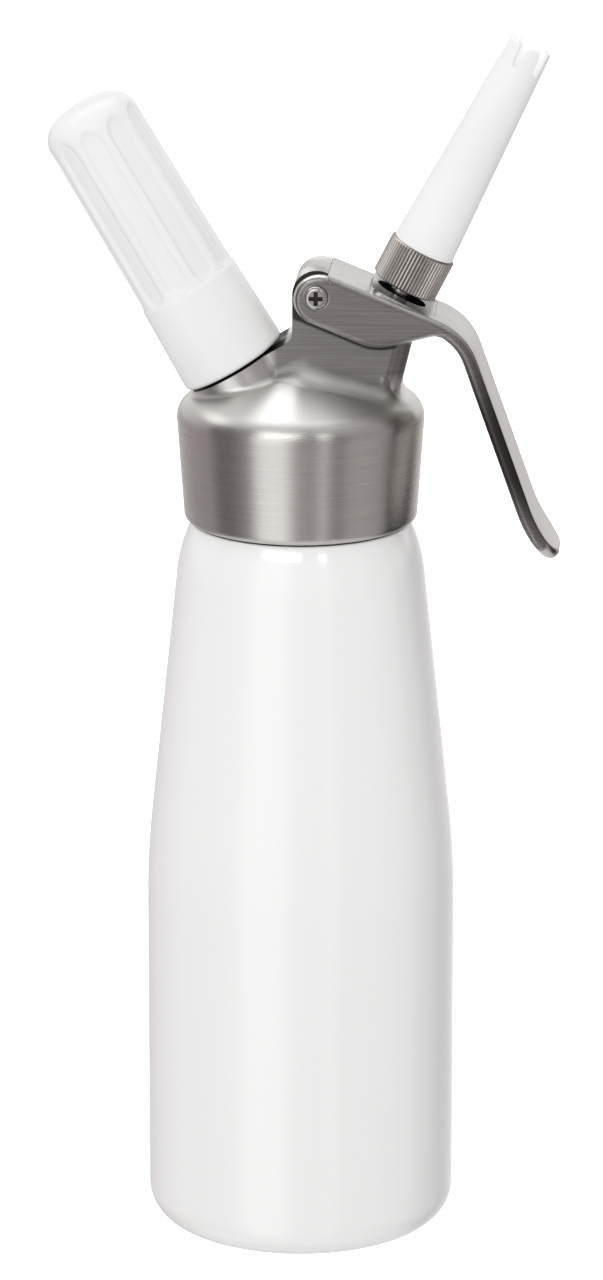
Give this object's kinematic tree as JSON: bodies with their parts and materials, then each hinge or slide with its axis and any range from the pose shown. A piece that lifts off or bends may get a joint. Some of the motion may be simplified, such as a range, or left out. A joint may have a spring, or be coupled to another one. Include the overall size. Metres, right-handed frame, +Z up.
{
  "type": "cream whipper",
  "caption": "Cream whipper: tapered white bottle with a screw-on metal head, squeeze lever, slanted nozzle and slanted gas charger holder.",
  "frame": {"origin": "centre of the bottle's flat base", "axes": "+Z up along the bottle axis, +X towards the lever and nozzle, -X towards the charger holder; the pivot screw head is on the -Y side"},
  "size_m": [0.1313, 0.08, 0.3167],
  "materials": {
    "bottle_white": "gloss",
    "head_cast": "satin",
    "lever_cast": "satin",
    "holder_plastic": "gloss",
    "nozzle_plastic": "satin",
    "ring_nickel": "satin",
    "liner_aluminium": "satin",
    "charger_steel": "polished",
    "bright_steel": "polished",
    "spring_steel": "satin",
    "retainer_brass": "satin",
    "bush_plastic": "satin",
    "white_rubber": "matte",
    "black_rubber": "matte"
  },
  "bodies": {
    "bottle": {"bottle": "bottle_white"},
    "head_lift": {"head_gasket": "white_rubber"},
    "head": {"head": "head_cast", "piercing_pin": "bright_steel", "piercer_gasket": "black_rubber", "check_valve": "black_rubber", "check_valve_retainer": "retainer_brass", "guide_bush": "bush_plastic", "stem_o_ring": "black_rubber", "valve_spring": "spring_steel", "pivot_sleeve": "bright_steel", "pivot_screw": "bright_steel", "pivot_washers": "bright_steel"},
    "lever": {"lever": "lever_cast"},
    "stem": {"valve_stem": "bright_steel", "push_collar": "bright_steel", "valve_seal": "black_rubber", "seal_washer": "bright_steel", "stem_nut": "bright_steel"},
    "nozzle_lift": {"nozzle_gasket": "white_rubber"},
    "nozzle": {"nozzle_ring": "ring_nickel", "nozzle_tip": "nozzle_plastic"},
    "charger": {"gas_charger": "charger_steel"},
    "charger_holder": {"charger_holder": "holder_plastic", "holder_liner": "liner_aluminium"}
  },
  "joints": [
    {"name": "head_rise", "type": "slide", "parent": "bottle", "child": "head_lift", "axis": [0, 0, 1], "range_m": [0, 0.01201]},
    {"name": "head_turn", "type": "hinge", "parent": "head_lift", "child": "head", "pos_m": [0, 0, 0.19003], "axis": [0, 0, 1], "range_deg": [0, 1080]},
    {"name": "lever_squeeze", "type": "hinge", "parent": "head", "child": "lever", "pos_m": [0.0047, 0, 0.25063], "axis": [0, 1, 0], "range_deg": [0, 9], "stiffness_Nm_per_rad": 2, "springref_deg": -5.73},
    {"name": "stem_press", "type": "slide", "parent": "head", "child": "stem", "axis": [-0.454, 0, -0.891], "range_m": [0, 0.00298], "deforming": ["valve_spring"]},
    {"name": "nozzle_rise", "type": "slide", "parent": "stem", "child": "nozzle_lift", "axis": [0.454, 0, 0.891], "range_m": [0, 0.00501]},
    {"name": "nozzle_turn", "type": "hinge", "parent": "nozzle_lift", "child": "nozzle", "pos_m": [0.02149, 0, 0.24207], "axis": [0.454, 0, 0.891], "range_deg": [0, 1800]},
    {"name": "charger_rise", "type": "slide", "parent": "head", "child": "charger", "axis": [-0.509, 0, 0.8607], "range_m": [0, 0.01401]},
    {"name": "holder_turn", "type": "hinge", "parent": "charger", "child": "charger_holder", "pos_m": [-0.01668, 0, 0.23013], "axis": [-0.509, 0, 0.8607], "range_deg": [0, 2520]}
  ],
  "couplings": [
    {"joint": "head_rise", "follows": "head_turn", "m_per_rad": 0.00063662},
    {"joint": "stem_press", "follows": "lever_squeeze", "m_per_rad": 0.018911},
    {"joint": "nozzle_rise", "follows": "nozzle_turn", "m_per_rad": 0.00015915},
    {"joint": "charger_rise", "follows": "holder_turn", "m_per_rad": 0.00031831}
  ]
}
